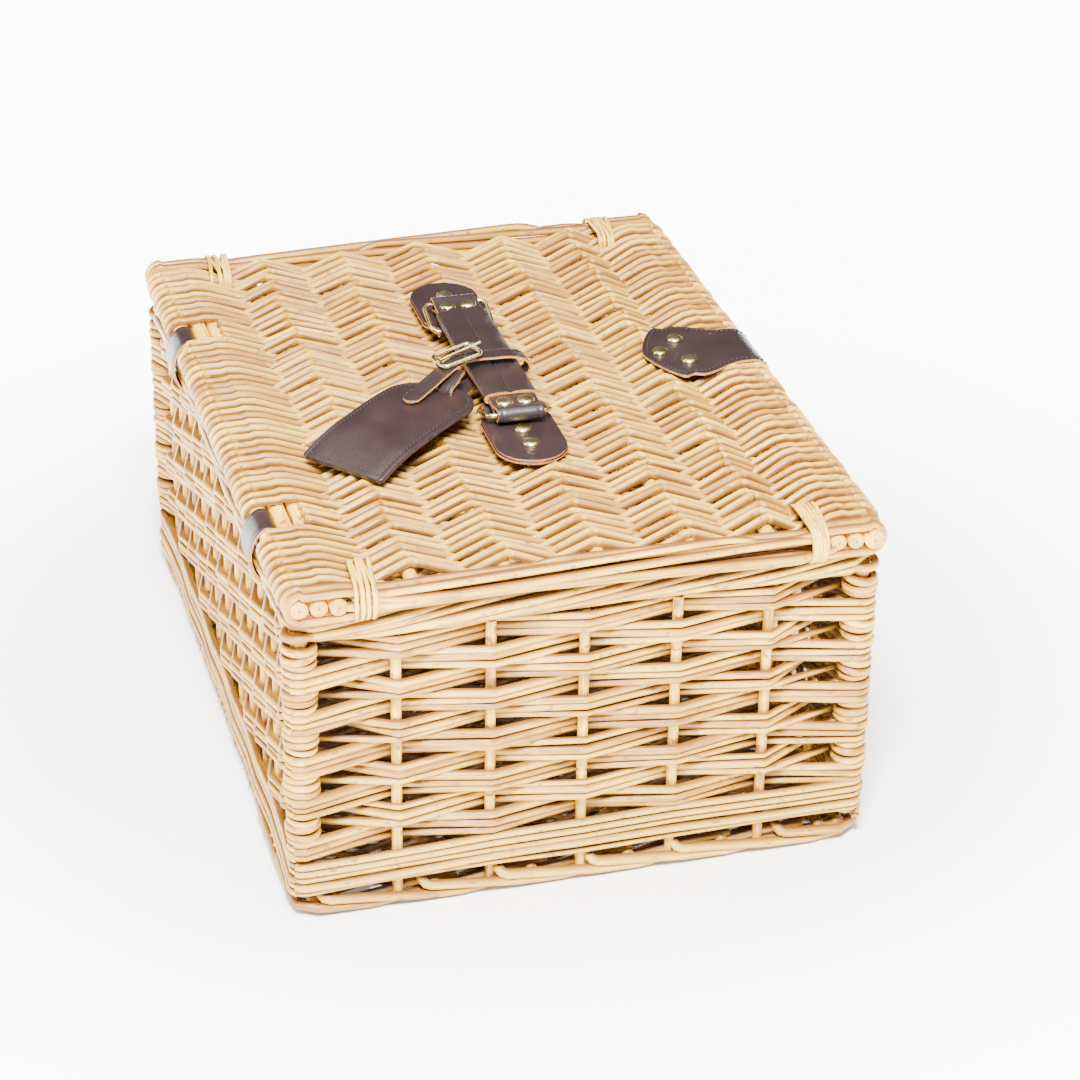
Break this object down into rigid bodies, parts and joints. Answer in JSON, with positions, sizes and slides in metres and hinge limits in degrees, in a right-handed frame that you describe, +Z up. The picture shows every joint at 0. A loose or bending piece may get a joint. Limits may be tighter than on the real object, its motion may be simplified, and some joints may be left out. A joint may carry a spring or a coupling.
{
  "type": "wicker picnic basket",
  "caption": "Rectangular willow picnic basket with a hinged woven lid, a leather carrying handle on rings, a strap clasp and a buckled luggage tag.",
  "frame": {"origin": "middle of the base, on the surface that the basket stands on", "axes": "+Z up, +X along the basket, +Y towards the hinges, -Y towards the clasp"},
  "size_m": [0.4186, 0.3365, 0.2273],
  "materials": {
    "willow": "peeled willow rods, satin",
    "willow_stick": "thicker peeled willow sticks, satin",
    "leather": "smooth dark brown leather with raw tan edges",
    "brass": "polished pale brass",
    "padding": "felt core of the grip"
  },
  "bodies": {
    "basket": {"base_weave": "willow", "base_sticks": "willow_stick", "foot_border_left": "willow", "foot_border_right": "willow", "corner_post_back_left": "willow_stick", "corner_post_back_right": "willow_stick", "corner_post_front_left": "willow_stick", "corner_post_front_right": "willow_stick", "corner_wrap_back_left": "willow", "corner_wrap_back_right": "willow", "corner_wrap_front_left": "willow", "corner_wrap_front_right": "willow", "wall_left": "willow", "wall_right": "willow", "wall_front": "willow", "wall_back": "willow", "stakes_left": "willow_stick", "stakes_right": "willow_stick", "stakes_front": "willow_stick", "stakes_back": "willow_stick", "top_border": "willow", "hinge_strap_left": "leather", "hinge_strap_right": "leather", "hinge_rivets": "brass", "wall_patch": "leather", "wall_patch_rivets": "brass", "lock_plate": "brass"},
    "lid": {"lid_weave": "willow", "lid_hinge_stick": "willow_stick", "lid_sticks_back": "willow_stick", "lid_sticks_mid": "willow_stick", "lid_sticks_front": "willow_stick", "lid_border_left": "willow", "lid_border_right": "willow", "lid_binding_back_left": "willow", "lid_binding_back_right": "willow", "lid_binding_front_left": "willow", "lid_binding_front_right": "willow", "handle_tab_left": "leather", "handle_tab_right": "leather", "tab_rivets_left": "brass", "tab_rivets_right": "brass", "clasp_flap": "leather", "clasp_flap_rivets": "brass"},
    "clasp": {"clasp_strap": "leather", "clasp_eyelet": "brass"},
    "turn_button": {"turn_button": "brass"},
    "grip": {"grip_cover": "leather", "grip_core": "padding"},
    "tongue_left": {"tongue_left": "leather", "tongue_rivets_left": "brass"},
    "tongue_right": {"tongue_right": "leather", "tongue_rivets_right": "brass"},
    "ring_left": {"ring_left": "brass"},
    "ring_right": {"ring_right": "brass"},
    "tag_strap": {"tag_strap": "leather", "tag_buckle_frame": "brass"},
    "tag_prong": {"tag_prong": "brass"},
    "luggage_tag": {"luggage_tag": "leather"}
  },
  "joints": [
    {"name": "lid_hinge", "type": "hinge", "parent": "basket", "child": "lid", "pos_m": [0, 0.1513, 0.1903], "axis": [-1, 0, 0], "range_deg": [0, 110]},
    {"name": "handle_lift", "type": "slide", "parent": "lid", "child": "grip", "axis": [0, 0, 1], "range_m": [0, 0.02]},
    {"name": "ring_left_swing", "type": "hinge", "parent": "lid", "child": "ring_left", "pos_m": [-0.0364, -0.0015, 0.20265], "axis": [0, 1, 0], "range_deg": [0, 23]},
    {"name": "ring_right_swing", "type": "hinge", "parent": "lid", "child": "ring_right", "pos_m": [0.0624, -0.0015, 0.20265], "axis": [0, -1, 0], "range_deg": [0, 23]},
    {"name": "tongue_left_bend", "type": "hinge", "parent": "grip", "child": "tongue_left", "pos_m": [-0.0418, -0.0015, 0.21], "axis": [0, -1, 0], "range_deg": [0, 41]},
    {"name": "tongue_right_bend", "type": "hinge", "parent": "grip", "child": "tongue_right", "pos_m": [0.0678, -0.0015, 0.21], "axis": [0, 1, 0], "range_deg": [0, 41]},
    {"name": "clasp_swing", "type": "hinge", "parent": "lid", "child": "clasp", "pos_m": [0.01, -0.1614, 0.1896], "axis": [-1, 0, 0], "range_deg": [-9, 105]},
    {"name": "button_turn", "type": "hinge", "parent": "basket", "child": "turn_button", "pos_m": [0.01, -0.16, 0.13], "axis": [0, -1, 0], "range_deg": [0, 90]},
    {"name": "tag_strap_slide", "type": "slide", "parent": "grip", "child": "tag_strap", "axis": [1, 0, 0], "range_m": [-0.012, 0.03]},
    {"name": "tag_droop", "type": "hinge", "parent": "tag_strap", "child": "luggage_tag", "pos_m": [-0.02082, 0.02825, 0.207], "axis": [-0.7547, -0.6561, 0], "range_deg": [0, 11.5]},
    {"name": "prong_lift", "type": "hinge", "parent": "tag_strap", "child": "tag_prong", "pos_m": [-0.0107, 0.03197, 0.22054], "axis": [-0.9632, -0.2689, 0], "range_deg": [0, 30]}
  ],
  "couplings": [
    {"joint": "ring_left_swing", "follows": "handle_lift", "rad_per_m": 19.4},
    {"joint": "ring_right_swing", "follows": "handle_lift", "rad_per_m": 19.4},
    {"joint": "tongue_left_bend", "follows": "handle_lift", "rad_per_m": 34.5},
    {"joint": "tongue_right_bend", "follows": "handle_lift", "rad_per_m": 34.5},
    {"joint": "tag_droop", "follows": "handle_lift", "rad_per_m": 9.6}
  ]
}
